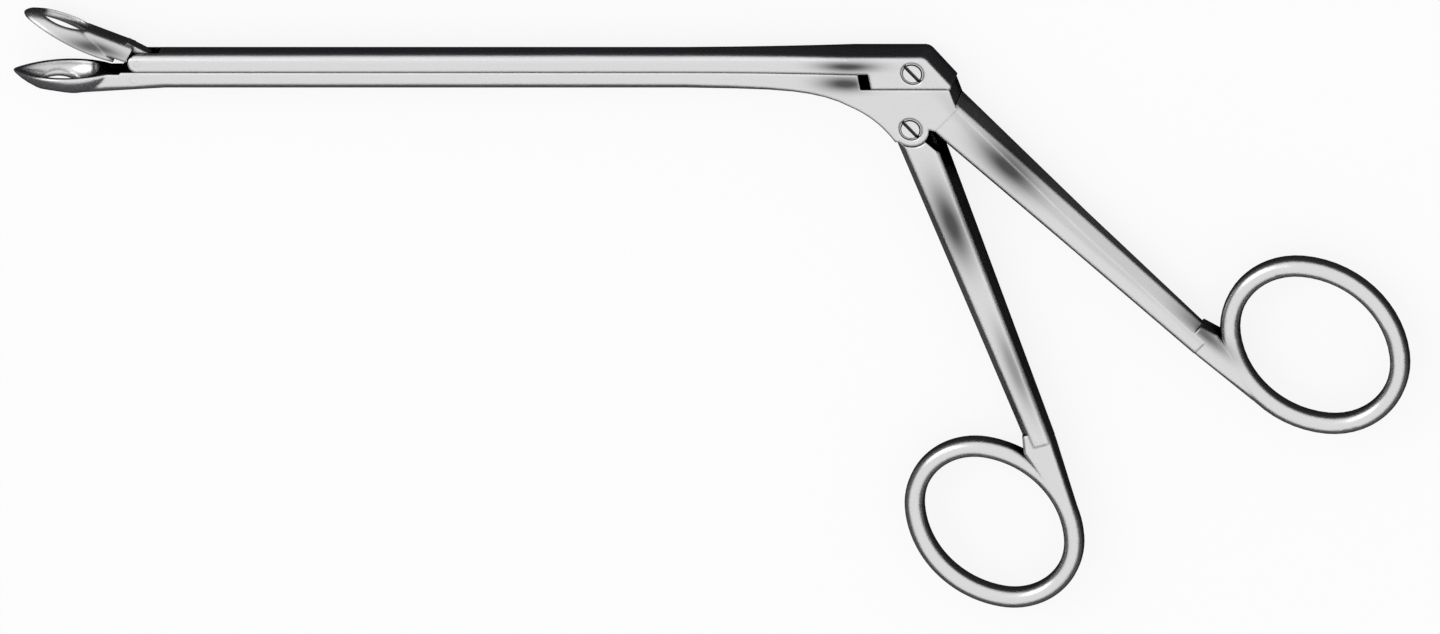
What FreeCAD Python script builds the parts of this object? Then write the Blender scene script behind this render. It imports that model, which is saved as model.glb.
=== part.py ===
import FreeCAD, Part
import os
import re
import Sketcher

# Nasal forceps with a sliding shaft, lying on one side, millimetres and degrees.
# X runs along the shaft from the jaws to the handles, Y from the finger ring up to the
# sliding bar, Z out of the side that faces up. The origin is the handle pivot's axis, in
# the side face that the body rests on. Heights are measured in Y from that axis, reaches
# in X towards the jaws, and everything is symmetric about the mid plane of the body.

SIZES = {
    # forged body around the pivot
    "body_thickness": 5.6,
    "boss_radius": 2.6,
    "heel_reach": 2.45,
    "heel_drop": 1.93,
    "belly_radius": 13.8,
    "seat_height": 6.05,
    "seat_tail": 6.0,
    "belly_rounding": 0.3,
    "notch_reach": 6.88,
    "notch_lean": 0.25,
    # the two bars of the shaft
    "shaft_width": 4.0,
    "seam_height": 8.35,
    "lower_bar_height": 2.65,
    "upper_bar_height": 2.6,
    "bar_rounding": 1.2,
    "flare_reach": 32.0,
    "flare_power": 5.3,
    "belly_reach": 8.0,
    "belly_height": 3.22,
    "slide_gap": 0.04,
    # guide that holds the sliding bar down
    "rail_reach": 96.0,
    "rail_length": 5.0,
    "rail_stem": 1.2,
    "rail_head": 2.2,
    "rail_stem_height": 0.95,
    "rail_head_height": 0.7,
    "rail_gap": 0.06,
    # sliding block over the body
    "block_tail": 6.7,
    "block_crown": 2.85,
    "block_rounding": 0.8,
    "block_relief": 0.05,
    "crown_radius": 1.6,
    "tail_height": 0.45,
    "tail_undercut": 0.15,
    "stop_gap": 0.2,
    # lever between the pivot and the sliding block
    "lever_arm": 8.56,
    "lever_lead": 6.3,
    "squeeze_angle": 8.75,
    "tongue_thickness": 2.2,
    "tongue_end": 1.8,
    "tongue_waist": 4.8,
    "tongue_gap": 0.05,
    "tongue_room": 0.4,
    "shoulder_gap": 0.15,
    "shoulder_angle": 45.0,
    # screws
    "head_radius": 1.6,
    "head_height": 0.9,
    "head_gap": 0.04,
    "screw_slot": 0.5,
    "screw_slot_depth": 0.5,
    "screw_slot_turn": -50.0,
    "pivot_shank": 1.1,
    "drive_shank": 0.95,
    "thread_radius": 0.8,
    "thread_gap": 0.01,
    "screw_recess": 0.1,
    "bearing_gap": 0.05,
    # jaws
    "tip_reach": 128.0,
    "parting_height": 8.05,
    "cup_widest": 7.8,
    "cup_length": 14.5,
    "cup_wall": 0.6,
    "hollow_start": 0.6,
    "hollow_turn": 10.7,
    "hollow_end": 12.2,
    "hollow_rear_radius": 2.4,
    "lower_cup_radius": 3.7,
    "lower_cup_nose": 1.1,
    "lower_cup_lift": 0.3,
    "lower_window_reach": 6.5,
    "lower_window_length": 6.6,
    "lower_window_width": 5.2,
    "upper_cup_radius": 3.5,
    "upper_cup_nose": 2.2,
    "upper_cup_lift": 1.0,
    "upper_cup_lead": 0.75,
    "upper_window_reach": 5.9,
    "upper_window_length": 7.0,
    "upper_window_width": 4.1,
    "bite_gap": 0.05,
    # neck behind the fixed cup
    "neck_start": 9.5,
    "neck_depth": 3.1,
    "neck_end_reach": 106.0,
    "neck_step_reach": 112.65,
    "neck_step_length": 0.3,
    "tang_slot_reach": 114.6,
    "tang_slot_end": 108.3,
    # link of the moving jaw
    "jaw_drive_reach": 109.9,
    "jaw_arm": 2.52,
    "tang_thickness": 1.9,
    "tang_gap": 0.1,
    "tang_boss": 1.1,
    "tang_front_reach": 2.15,
    "tang_back": 0.55,
    "tang_top_height": 4.15,
    "shank_lift": 1.0,
    "shank_start": 9.0,
    "fork_slot_end": 106.8,
    "jaw_pin": 0.5,
    "drive_pin": 0.45,
    "pin_gap": 0.04,
    "pin_seat_gap": 0.005,
    "pin_inset": 0.02,
    # handles
    "shank_root_thickness": 5.56,
    "shank_end_thickness": 3.8,
    "root_overlap": 0.6,
    "shank_inner_bevel": 0.45,
    "shank_end_reach": 51.0,
    "rear_angle": -46.2,
    "rear_offset": 4.7,
    "rear_root_reach": 2.0,
    "rear_root_width": 5.6,
    "rear_mid_width": 4.6,
    "rear_end_width": 3.8,
    "rear_root_bevel": 0.5,
    "rear_mid_bevel": 1.3,
    "rear_end_bevel": 1.5,
    "front_angle": -73.9,
    "front_offset": -0.1,
    "front_root_reach": 0.5,
    "front_root_width": 5.5,
    "front_mid_width": 4.6,
    "front_end_width": 3.7,
    "front_root_bevel": 1.1,
    "front_mid_bevel": 1.2,
    "front_end_bevel": 1.2,
    # rings
    "ring_width": 2.75,
    "ring_thickness": 3.2,
    "ring_rounding": 1.25,
    "web_relief": 0.12,
    "web_start_reach": 49.0,
    "web_bend_reach": 51.6,
    "web_bend_offset": 2.6,
    "web_end_offset": 0.3,
    "web_rounding": 0.6,
    "web_rim_rounding": 0.8,
    "thumb_reach": 62.4,
    "thumb_offset": 10.95,
    "thumb_turn": -0.6,
    "thumb_half_length": 12.77,
    "thumb_half_width": 11.17,
    "finger_reach": 60.7,
    "finger_offset": 10.75,
    "finger_turn": 23.5,
    "finger_half_length": 12.25,
    "finger_half_width": 10.38,
}

# Formulas over those sizes, used by more than one piece
HALF = "(body_thickness / 2)"
BAR_HALF = "(shaft_width / 2)"
BAR_BOTTOM = "(seam_height - lower_bar_height)"
SLIDE_BOTTOM = "(seam_height + slide_gap)"
SLIDE_TOP = "(seam_height + slide_gap + upper_bar_height)"
BLOCK_BOTTOM = "(seat_height + slide_gap)"
BLOCK_HALF = "(body_thickness / 2 - block_relief)"
TONGUE_SLOT = "(tongue_thickness + 2 * tongue_gap)"
DRIVE_X = "(lever_arm * sin(lever_lead * 1 deg))"
DRIVE_Y = "(lever_arm * cos(lever_lead * 1 deg))"
TRAVEL = "(lever_arm * (sin(lever_lead * 1 deg) - sin((lever_lead - squeeze_angle) * 1 deg)))"
STROKE_RISE = "(lever_arm - lever_arm * cos(lever_lead * 1 deg))"
OPENING = f"(2 * asin({TRAVEL} / (2 * jaw_arm)))"
JAW_DRIVE_X = "(-jaw_drive_reach)"
JAW_DRIVE_Y = f"({SLIDE_BOTTOM} + upper_bar_height / 2)"
JAW_PIVOT_X = f"({JAW_DRIVE_X} - {TRAVEL} / 2)"
JAW_PIVOT_Y = f"({JAW_DRIVE_Y} - jaw_arm * cos({OPENING} / 2))"
JAW_DIP = f"(jaw_arm * (1 - cos({OPENING} / 2)))"
TANG_SLOT = "(tang_thickness + 2 * tang_gap)"
SHOULDER = "(boss_radius + shoulder_gap)"
THROUGH = "(4 * body_thickness)"

# Sections of the widening between bar and body, as parts of its length
FLARE_STEPS = (0, 0.3, 0.5, 0.65, 0.75, 0.84, 0.92, 1)

doc = FreeCAD.newDocument("nasal_forceps")
sheet = doc.addObject("Spreadsheet::Sheet", "sizes")
for row, (alias, value) in enumerate(SIZES.items(), start=1):
    sheet.set(f"A{row}", alias)
    sheet.set(f"B{row}", str(value))
    sheet.setAlias(f"B{row}", alias)
doc.recompute()

NAME_PATTERN = re.compile(r"\b(" + "|".join(SIZES) + r")\b")


def bound(formula):
    """The formula with each size name pointed at its cell of the sheet."""
    return NAME_PATTERN.sub(r"sizes.\1", formula)


def value_of(formula):
    """The number that a formula has now."""
    result = sheet.evalExpression(bound(formula))
    return float(getattr(result, "Value", result))


def new_body(label, height=HALF):
    """A body whose own mid plane lies at the given height above the resting face."""
    body = doc.addObject("PartDesign::Body", label)
    body.Label = label
    body.setExpression("Placement.Base.z", bound(height))
    return body


def new_sketch(body, name, plane, along=None, turn=None):
    """A sketch on one of the body's own planes, moved along and turned by formulas."""
    sketch = body.newObject("Sketcher::SketchObject", name)
    support = [f for f in body.Origin.OriginFeatures if f.Role == plane][0]
    sketch.AttachmentSupport = [(support, "")]
    sketch.MapMode = "FlatFace"
    if turn:
        axis, angle = turn
        start = FreeCAD.Rotation(FreeCAD.Vector(*axis), value_of(angle))
        sketch.AttachmentOffset = FreeCAD.Placement(FreeCAD.Vector(), start)
        sketch.setExpression("AttachmentOffset.Rotation.Angle", bound(f"({angle}) * 1 deg"))
    for direction, formula in (along or {}).items():
        sketch.setExpression(f"AttachmentOffset.Base.{direction}", bound(formula))
    return sketch


def constrain(sketch, kind, formula, *where):
    """One dimension of a sketch, tied to a formula."""
    index = sketch.addConstraint(Sketcher.Constraint(kind, *where, value_of(formula)))
    sketch.setExpression(f"Constraints[{index}]", bound(formula))


def arc_between(start, end, radius, left):
    """The short arc between two points whose centre lies left or right of the way."""
    middle = (start + end) / 2
    across = end - start
    normal = FreeCAD.Vector(-across.y, across.x, 0).normalize()
    side = 1 if left else -1
    rise = max(radius**2 - (across.Length / 2) ** 2, 0) ** 0.5
    centre = middle + normal * rise * side
    return Part.Arc(start, centre - normal * radius * side, end)


def draw_outline(sketch, points):
    """A closed outline through points (x, y) or (x, y, radius, side).

    A point with a radius is reached by an arc, whose centre is on the given side of the way.
    """
    corners = [FreeCAD.Vector(value_of(p[0]), value_of(p[1]), 0) for p in points]
    edges = []
    for index, start in enumerate(corners):
        follower = (index + 1) % len(points)
        end = corners[follower]
        point = points[follower]
        if len(point) == 4:
            shape = arc_between(start, end, value_of(point[2]), point[3] == "left")
        else:
            shape = Part.LineSegment(start, end)
        edges.append(sketch.addGeometry(shape, False))
    first_end = [1 if point_near(sketch, e, 1, corners[i]) else 2 for i, e in enumerate(edges)]
    for index, edge in enumerate(edges):
        follower = (index + 1) % len(edges)
        joint = ("Coincident", edge, 3 - first_end[index], edges[follower], first_end[follower])
        sketch.addConstraint(Sketcher.Constraint(*joint))
    for index, edge in enumerate(edges):
        constrain(sketch, "DistanceX", points[index][0], edge, first_end[index])
        constrain(sketch, "DistanceY", points[index][1], edge, first_end[index])
        point = points[(index + 1) % len(points)]
        if len(point) == 4:
            constrain(sketch, "Radius", point[2], edge)


def point_near(sketch, edge, which, point):
    """Whether that end of an edge lies at the point."""
    return (sketch.getPoint(edge, which) - point).Length < 1e-6


def draw_circle(sketch, x, y, radius):
    """A circle at (x, y)."""
    centre = FreeCAD.Vector(value_of(x), value_of(y), 0)
    normal = FreeCAD.Vector(0, 0, 1)
    circle = sketch.addGeometry(Part.Circle(centre, normal, value_of(radius)), False)
    constrain(sketch, "Radius", radius, circle)
    constrain(sketch, "DistanceX", x, circle, 3)
    constrain(sketch, "DistanceY", y, circle, 3)


def draw_oval(sketch, half_length, half_width, growth="0"):
    """A level oval of four tangent arcs about the sketch's origin, grown by an offset."""
    diagonal = f"sqrt(({half_length})^2 + ({half_width})^2)"
    squeeze = f"(({half_length} - {half_width}) / {diagonal})"
    end = f"({diagonal}^2 * (1 - {squeeze}) / (2 * {half_length}))"
    flank = f"({diagonal}^2 * (1 + {squeeze}) / (2 * {half_width}))"
    share = f"(({flank} + {growth}) / ({flank} - {end}))"
    x = f"({share} * ({half_length} - {end}))"
    y = f"(({share} - 1) * ({flank} - {half_width}))"
    draw_outline(sketch, [
        (x, f"-{y}", f"{flank} + {growth}", "left"),
        (x, y, f"{end} + {growth}", "left"),
        (f"-{x}", y, f"{flank} + {growth}", "left"),
        (f"-{x}", f"-{y}", f"{end} + {growth}", "left"),
    ])


def prism(body, kind, name, sketch, depth):
    """A pad or a pocket of the sketch, half to each side of its plane."""
    feature = body.newObject("PartDesign::" + kind, name)
    feature.Profile = sketch
    feature.SideType = "Symmetric"
    feature.setExpression("Length", bound(depth))
    sketch.Visibility = False
    return feature


def pad(body, name, sketch, depth):
    return prism(body, "Pad", name, sketch, depth)


def pocket(body, name, sketch, depth):
    return prism(body, "Pocket", name, sketch, depth)


def turned(body, kind, name, sketch, axis, angle):
    """A revolution or a groove of the sketch about one of its own axes."""
    feature = body.newObject("PartDesign::" + kind, name)
    feature.Profile = sketch
    feature.ReferenceAxis = (sketch, [axis])
    feature.Midplane = True
    feature.Angle = angle
    return feature


def loft(body, name, sections, ruled):
    """A loft through the sections."""
    feature = body.newObject("PartDesign::AdditiveLoft", name)
    feature.Profile = sections[0]
    feature.Sections = sections[1:]
    feature.Ruled = ruled
    return feature


def dress(body, kind, name, base, edge_test, size_property, size):
    """A fillet or a chamfer on the edges of the base that pass the test."""
    doc.recompute()
    chosen = [f"Edge{i}" for i, edge in enumerate(base.Shape.Edges, start=1) if edge_test(edge)]
    feature = body.newObject("PartDesign::" + kind, name)
    feature.Base = (base, chosen)
    feature.setExpression(size_property, bound(size))
    return feature


def ends_of(edge):
    """The start and end of an edge."""
    return [vertex.Point for vertex in edge.Vertexes]


def rounded_rectangle(low, high, bottom, top, low_corner, high_corner, arcs=True):
    """Points of a rectangle from low to high, its corners rounded or bevelled."""
    turn_low = (low_corner, "left") if arcs else ()
    turn_high = (high_corner, "left") if arcs else ()
    return [
        (f"{low} + {low_corner}", bottom),
        (f"{high} - {high_corner}", bottom),
        (high, f"{bottom} + {high_corner}", *turn_high),
        (high, f"{top} - {high_corner}"),
        (f"{high} - {high_corner}", top, *turn_high),
        (f"{low} + {low_corner}", top),
        (low, f"{top} - {low_corner}", *turn_low),
        (low, f"{bottom} + {low_corner}"),
        (f"{low} + {low_corner}", bottom, *turn_low),
    ][: 8 if not arcs else 9]


def bar_section(body, name, x, half, flat, crown, corner):
    """A cross-section of a bar: flat at the seam, with two rounded corners away from it.

    flat and crown are the heights of its flat and of its rounded side.
    """
    sketch = new_sketch(body, name, "YZ_Plane", {"z": x})
    inward = "-" if value_of(crown) > value_of(flat) else "+"
    side = "left" if inward == "-" else "right"
    shoulder = f"{crown} {inward} {corner}"
    points = [
        (flat, f"-{half}"),
        (shoulder, f"-{half}"),
        (crown, f"-({half} - {corner})", corner, side),
        (crown, f"{half} - {corner}"),
        (shoulder, half, corner, side),
        (flat, half),
    ]
    draw_outline(sketch, points)
    return sketch


def add_flare(body, half, flat, crown, drop, corner):
    """The widening of a bar towards the body: half wide, dropping at its crown, sharper cornered."""
    sections = []
    for index, step in enumerate(FLARE_STEPS):
        sections.append(bar_section(
            body, f"flare_{index}", f"{step} * (flare_reach - belly_reach) - flare_reach",
            f"({BAR_HALF} + {step}^2 * ({half} - {BAR_HALF}))", flat,
            f"({crown} - {step}^flare_power * ({drop}))",
            f"(bar_rounding + {step} * ({corner} - bar_rounding))",
        ))
    loft(body, "flare", sections, True)


def handle_section(body, name, handle, reach, low, high, thickness, corners, arcs=False):
    """A cross-section of a handle, square to its axis, from offset low to offset high."""
    angle = f"{handle}_angle"
    place = {"x": f"({reach}) * sin({angle} * 1 deg)", "z": f"({reach}) * cos({angle} * 1 deg)"}
    sketch = new_sketch(body, name, "YZ_Plane", place, ((0, 1, 0), angle))
    bottom = f"-({thickness}) / 2"
    top = f"({thickness}) / 2"
    points = rounded_rectangle(low, high, bottom, top, *corners, arcs)
    if arcs:
        points = points[1:]
    draw_outline(sketch, points)
    return sketch


def on_handle(handle, reach, offset):
    """The point of a handle at a reach along its axis and an offset across it."""
    angle = f"({handle}_angle * 1 deg)"
    x = f"(({reach}) * cos{angle} - ({offset}) * sin{angle})"
    y = f"(({reach}) * sin{angle} + ({offset}) * cos{angle})"
    return x, y


def add_ring(body, handle, ring, side):
    """The oval ring of a handle, rounded all over. It comes before the shank."""
    offset = f"{handle}_offset + {side} * {ring}_offset"
    x, y = on_handle(handle, f"{ring}_reach", offset)
    turn = ((0, 0, 1), f"{handle}_angle + {ring}_turn")
    sketch = new_sketch(body, ring + "_oval", "XY_Plane", {"x": x, "y": y}, turn)
    for growth in ("ring_width / 2", "-ring_width / 2"):
        draw_oval(sketch, f"{ring}_half_length", f"{ring}_half_width", f"({growth})")
    base = pad(body, ring + "_ring", sketch, "ring_thickness")
    dress(
        body, "Fillet", ring + "_ring_rounding", base,
        lambda edge: isinstance(edge.Curve, Part.Circle), "Radius", "ring_rounding",
    )


def add_shank(body, handle, ring, side):
    """The tapered, bevelled shank of a handle and the web that runs on into its ring.

    side is 1 where the ring lies at a growing offset from the shank, and -1 where it doesn't.
    """
    middle = f"(({handle}_root_reach + shank_end_reach) / 2)"
    middle_thickness = "((shank_root_thickness + shank_end_thickness) / 2)"
    sections = []
    for part, reach, thickness in (
        ("root", f"{handle}_root_reach", "shank_root_thickness"),
        ("mid", middle, middle_thickness),
        ("end", "shank_end_reach", "shank_end_thickness"),
    ):
        low = f"{handle}_offset - {handle}_{part}_width / 2"
        high = f"{handle}_offset + {handle}_{part}_width / 2"
        corners = ("shank_inner_bevel", f"{handle}_{part}_bevel")[::side]
        name = f"{handle}_{part}_section"
        sections.append(
            handle_section(body, name, handle, reach, low, high, thickness, corners)
        )
    loft(body, handle + "_shank", sections, True)

    # web: it starts in the shank, widens at its bend and ends inside the ring's far rim
    turn = f"({ring}_turn * 1 deg)"
    length = f"({ring}_half_length + ring_width / 2)"
    width = f"({ring}_half_width + ring_width / 2)"
    support = f"sqrt(({length} * sin{turn})^2 + ({width} * cos{turn})^2)"
    lead = f"(({length}^2 - {width}^2) * sin{turn} * cos{turn} / {support})"
    rim = f"({support} - {ring}_offset - web_relief)"
    edge = f"{handle}_end_width / 2"
    thick = "(shank_end_thickness - 2 * web_relief)"
    sections = []
    for part, reach, outer, inner, thickness, rounding in (
        ("start", "web_start_reach", edge, edge, thick, "web_rounding"),
        ("bend", "web_bend_reach", edge, "web_bend_offset", thick, "web_rounding"),
        ("finish", f"{ring}_reach - {side} * {lead}", rim, "web_end_offset",
         "(ring_thickness - 2 * web_relief)", "web_rim_rounding"),
    ):
        low = f"{handle}_offset - {outer if side > 0 else inner}"
        high = f"{handle}_offset + {inner if side > 0 else outer}"
        corners = (rounding, "web_rounding")[::side]
        sections.append(handle_section(
            body, f"{ring}_web_{part}", handle, reach, low, high, thickness, corners, True,
        ))
    loft(body, ring + "_web", sections, True)


def cup_curve(radius, start, start_radius):
    """The radius of the arc from a start near the nose to the widest place of a cup."""
    run = f"(cup_widest - {start})"
    return f"(({run}^2 + ({radius})^2 - ({start_radius})^2) / (2 * ({radius} - {start_radius})))"


def add_cup(body, cup, side, nose_x, parting_y):
    """The outer form of a cup: part of a leaf of revolution about an axis along X.

    side is -1 for a cup below its parting face and 1 for one above it. The axis lies behind
    the parting face by the cup's lift.
    """
    way = "left" if side < 0 else "right"
    nose = f"{cup}_cup_nose"
    radius = f"{cup}_cup_radius"
    curve = cup_curve(radius, nose, nose)
    swing = f"({curve} - {nose})"
    touch_x = f"{nose} - {nose} * (cup_widest - {nose}) / {swing}"
    touch_y = f"{side} * {nose} * ({curve} - {radius}) / {swing}"
    rear = f"(sqrt({curve}^2 - (cup_length - cup_widest)^2) - {curve} + {radius})"
    place = {"x": nose_x, "y": f"{parting_y} - {side} * {cup}_cup_lift"}
    sketch = new_sketch(body, cup + "_cup_outline", "XY_Plane", place)
    draw_outline(sketch, [
        ("0", "0"),
        (touch_x, touch_y, nose, way),
        ("cup_length", f"{side} * {rear}", curve, way),
        ("cup_length", "0"),
    ])
    turned(body, "Revolution", cup + "_cup", sketch, "H_Axis", 180)


def open_cup(body, cup, side, nose_x, parting_y, rear_x):
    """The parting face of a cup, its hollow and the window through its back."""
    sketch = new_sketch(body, cup + "_parting_outline", "XY_Plane")
    beyond = f"{parting_y} - {side} * 2 * {cup}_cup_radius"
    draw_outline(sketch, [
        (f"{nose_x} - 1", parting_y),
        (rear_x, parting_y),
        (rear_x, beyond),
        (f"{nose_x} - 1", beyond),
    ])
    pocket(body, cup + "_parting_face", sketch, THROUGH)

    way = "left" if side < 0 else "right"
    depth = f"({cup}_cup_radius - cup_wall)"
    curve = cup_curve(depth, "hollow_start", "0")
    turn = f"(sqrt({curve}^2 - (hollow_turn - cup_widest)^2) - {curve} + {depth})"
    place = {"x": nose_x, "y": f"{parting_y} - {side} * {cup}_cup_lift"}
    sketch = new_sketch(body, cup + "_hollow_outline", "XY_Plane", place)
    draw_outline(sketch, [
        ("hollow_start", "0"),
        ("hollow_turn", f"{side} * {turn}", curve, way),
        ("hollow_end", "0", "hollow_rear_radius", way),
    ])
    turned(body, "Groove", cup + "_hollow", sketch, "H_Axis", 360)
    place = {"x": f"{nose_x} + {cup}_window_reach"}
    window = new_sketch(body, cup + "_window_outline", "XZ_Plane", place)
    draw_oval(window, f"({cup}_window_length / 2)", f"({cup}_window_width / 2)")
    pocket(body, cup + "_window", window, THROUGH)


def make_fixed_shaft():
    """The forging that stays still: thumb handle, body, lower bar and lower cup."""
    body = new_body("fixed_shaft")
    add_ring(body, "rear", "thumb", 1)
    add_shank(body, "rear", "thumb", 1)

    # slide block's seat, cut through the top of the shank
    sketch = new_sketch(body, "seat_outline", "XY_Plane")
    draw_outline(sketch, [
        ("-notch_reach", "seat_height"),
        ("2 * block_tail", "seat_height"),
        ("2 * block_tail", "2 * seam_height"),
        ("-notch_reach", "2 * seam_height"),
    ])
    pocket(body, "seat", sketch, THROUGH)

    # body with the boss for the pivot
    crotch = "((rear_offset - rear_root_width / 2) / 2)"
    reach = f"(sqrt(boss_radius^2 - (2 * {crotch})^2))"
    crotch_x, crotch_y = on_handle("rear", reach, f"2 * {crotch}")
    low = "rear_offset - rear_root_width / 2"
    high = "rear_offset + rear_root_width / 2 - rear_root_bevel"
    overlap = "rear_root_reach + root_overlap"
    low_x, low_y = on_handle("rear", "rear_root_reach", low)
    join_x, join_y = on_handle("rear", overlap, f"{low} + shank_inner_bevel")
    high_x, high_y = on_handle("rear", overlap, high)
    sketch = new_sketch(body, "body_outline", "XY_Plane")
    boss_side = "(-sqrt(boss_radius^2 - heel_drop^2))"
    draw_outline(sketch, [
        ("-belly_reach", "seam_height"),
        ("-belly_reach", "belly_height"),
        ("-heel_reach", "-heel_drop", "belly_radius", "right"),
        (boss_side, "-heel_drop"),
        (crotch_x, crotch_y, "boss_radius", "left"),
        (low_x, low_y),
        (join_x, join_y),
        (high_x, high_y),
        ("seat_tail", "seat_height"),
        ("notch_lean - notch_reach", "seat_height"),
        ("-notch_reach", "seam_height"),
    ])
    block = pad(body, "body_block", sketch, "body_thickness")
    side = value_of(HALF)
    right = value_of("-heel_reach") + 0.01
    top = value_of("belly_height") + 0.01

    def is_under_edge(edge):
        """Whether an edge follows the belly."""
        return all(
            abs(abs(p.z) - side) < 0.01 and p.x < right and p.y < top for p in ends_of(edge)
        )

    dress(body, "Fillet", "belly_edge", block, is_under_edge, "Radius", "belly_rounding")

    drop = f"{BAR_BOTTOM} - belly_height"
    add_flare(body, HALF, "seam_height", BAR_BOTTOM, drop, "belly_rounding")

    # lower bar, the neck that carries the cup, and the step down to the parting line
    neck_front = "(neck_start - tip_reach)"
    sections = [
        bar_section(body, "bar_rear", "-flare_reach", BAR_HALF, "seam_height", BAR_BOTTOM,
                    "bar_rounding"),
        bar_section(body, "bar_front", "-neck_end_reach", BAR_HALF, "seam_height", BAR_BOTTOM,
                    "bar_rounding"),
        bar_section(body, "neck_front", neck_front, BAR_HALF, "seam_height",
                    "(parting_height - neck_depth)", "bar_rounding"),
    ]
    loft(body, "lower_bar", sections, True)
    sketch = new_sketch(body, "neck_step_outline", "XY_Plane")
    draw_outline(sketch, [
        (f"{neck_front} - 1", "parting_height"),
        ("-neck_step_reach", "parting_height"),
        ("neck_step_length - neck_step_reach", "seam_height"),
        ("neck_step_length - neck_step_reach", "2 * seam_height"),
        (f"{neck_front} - 1", "2 * seam_height"),
    ])
    pocket(body, "neck_step", sketch, THROUGH)
    add_cup(body, "lower", -1, "(-tip_reach)", "parting_height")
    open_cup(body, "lower", -1, "(-tip_reach)", "parting_height", "-neck_step_reach")

    # guide rail: a stem with a wider head
    middle = "seam_height + rail_stem_height"
    for name, low, high, width in (
        ("rail_stem", "seam_height - rail_gap", middle, "rail_stem"),
        ("rail_head", middle, f"{middle} + rail_head_height", "rail_head"),
    ):
        sketch = new_sketch(body, name + "_outline", "XY_Plane")
        draw_outline(sketch, [
            ("-rail_reach", low),
            ("rail_length - rail_reach", low),
            ("rail_length - rail_reach", high),
            ("-rail_reach", high),
        ])
        pad(body, name, sketch, width)

    # slot for the jaw's tang, and the hole for its pin
    floor = f"{JAW_PIVOT_Y} - tang_boss - tang_gap"
    sketch = new_sketch(body, "tang_slot_outline", "XY_Plane")
    draw_outline(sketch, [
        ("-tang_slot_reach", floor),
        ("-tang_slot_end", floor),
        ("-tang_slot_end", SLIDE_TOP),
        ("-tang_slot_reach", SLIDE_TOP),
    ])
    pocket(body, "tang_slot", sketch, TANG_SLOT)
    drill(body, "jaw_pin_hole", JAW_PIVOT_X, JAW_PIVOT_Y, "jaw_pin + pin_seat_gap", "0", THROUGH)

    # slot for the handle's tongue, and the pivot screw's stepped hole
    wall = "(tongue_waist / 2 + tongue_room)"
    sketch = new_sketch(body, "tongue_slot_outline", "XY_Plane")
    draw_outline(sketch, [
        (f"-{wall}", "-2 * boss_radius"),
        (wall, "-2 * boss_radius"),
        (wall, "2 * seat_height"),
        (f"-{wall}", "2 * seat_height"),
    ])
    pocket(body, "tongue_slot", sketch, TONGUE_SLOT)
    screw_hole(body, "pivot", "0", "0", HALF)
    return body


def drill(body, name, x, y, radius, height, depth):
    """A round hole along Z, centred on a height above the mid plane."""
    sketch = new_sketch(body, name + "_circle", "XY_Plane", {"z": height})
    draw_circle(sketch, x, y, radius)
    return pocket(body, name, sketch, depth)


def screw_hole(body, screw, x, y, face):
    """The stepped hole of a screw: head, plain shank and thread, from the upper face."""
    shank = f"{screw}_shank"
    drill(body, screw + "_thread_hole", x, y, "thread_radius + thread_gap", "0", THROUGH)
    drill(body, screw + "_shank_hole", x, y, f"{shank} + thread_gap", face,
          f"2 * ({face} + tongue_thickness / 2 + tongue_gap)")
    drill(body, screw + "_head_hole", x, y, "head_radius + head_gap", face, "2 * head_height")


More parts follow.
